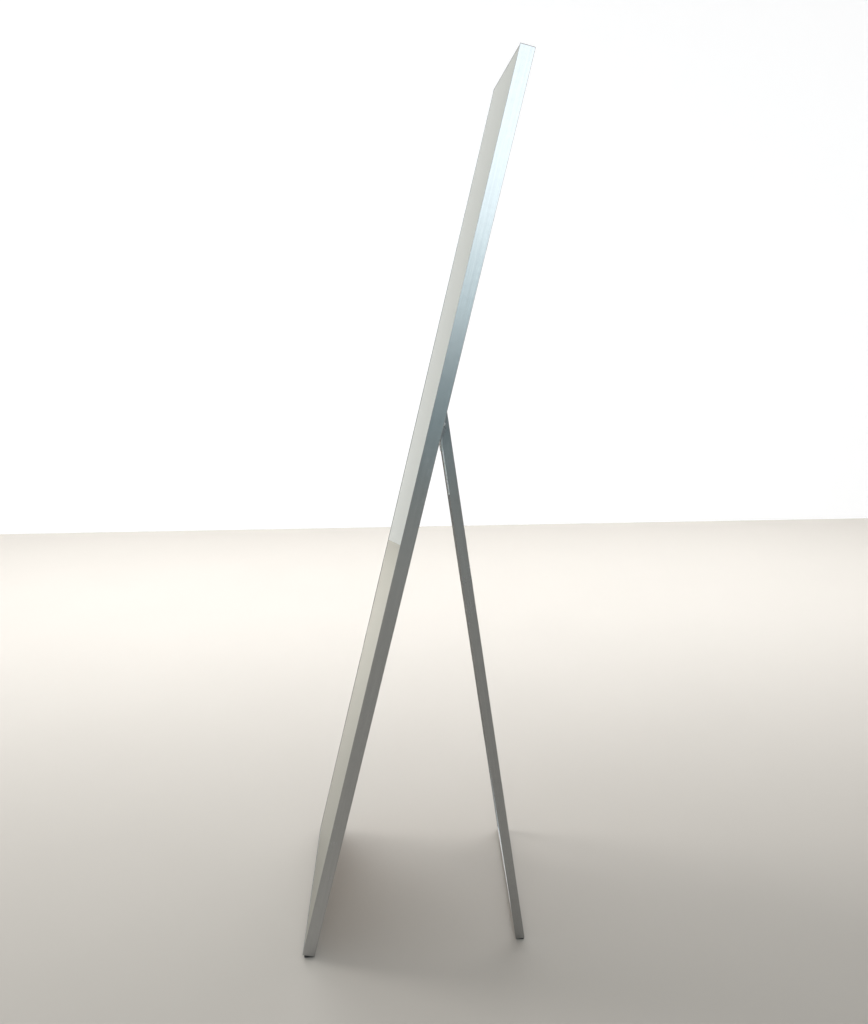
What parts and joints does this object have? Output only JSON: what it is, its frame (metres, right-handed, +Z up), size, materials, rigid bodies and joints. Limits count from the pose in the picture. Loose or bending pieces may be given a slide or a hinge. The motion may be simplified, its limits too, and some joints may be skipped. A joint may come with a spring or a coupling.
{
  "type": "cheval floor mirror",
  "caption": "Tall slim full-length mirror in a thin metal frame, leaning back on a hinged U-shaped rear stand that folds flat.",
  "frame": {"origin": "on the floor, at the centre of the footprint of the open mirror and its stand", "axes": "+Z up; the glass faces -Y and leans back towards +Y; the stand is behind, on the +Y side; X runs across the mirror"},
  "size_m": [0.4, 0.4216, 1.5601],
  "materials": {
    "frame_aluminium": "fine brushed, anodised silver",
    "stand_aluminium": "fine brushed, anodised silver",
    "mirror_glass": "silvered float glass",
    "safety_film": "thin adhesive film",
    "back_panel": "smooth hardboard",
    "corner_key_plastic": "moulded",
    "hinge_steel": "zinc plated",
    "fastener_steel": "zinc plated",
    "nylon": "moulded nylon",
    "plug_plastic": "moulded",
    "rubber": "soft, matt"
  },
  "bodies": {
    "mirror": {"back_panel": "back_panel", "bottom_rail": "frame_aluminium", "bracket_screws": "fastener_steel", "corner_key_bottom_left": "corner_key_plastic", "corner_key_bottom_right": "corner_key_plastic", "corner_key_screws": "fastener_steel", "corner_key_top_left": "corner_key_plastic", "corner_key_top_right": "corner_key_plastic", "frame_foot_left": "rubber", "frame_foot_right": "rubber", "hinge_bracket_left": "hinge_steel", "hinge_bracket_right": "hinge_steel", "left_stile": "frame_aluminium", "mirror_glass": "mirror_glass", "pivot_pin_left": "fastener_steel", "pivot_pin_right": "fastener_steel", "pivot_spacer_left": "nylon", "pivot_spacer_right": "nylon", "right_stile": "frame_aluminium", "safety_film": "safety_film", "setting_blocks": "rubber", "top_rail": "frame_aluminium"},
    "stand": {"arm_rivets": "fastener_steel", "hinge_arm_left": "hinge_steel", "hinge_arm_right": "hinge_steel", "leg_left": "stand_aluminium", "leg_plug_left": "plug_plastic", "leg_plug_right": "plug_plastic", "leg_right": "stand_aluminium", "stand_corner_key_left": "corner_key_plastic", "stand_corner_key_right": "corner_key_plastic", "stand_crossbar": "stand_aluminium", "stand_foot_left": "rubber", "stand_foot_right": "rubber", "stand_key_screws": "fastener_steel"}
  },
  "joints": [
    {"name": "stand_fold", "type": "hinge", "parent": "mirror", "child": "stand", "pos_m": [0, 0.05853, 1.02717], "axis": [-1, 0, 0], "range_deg": [0, 21.9]}
  ]
}
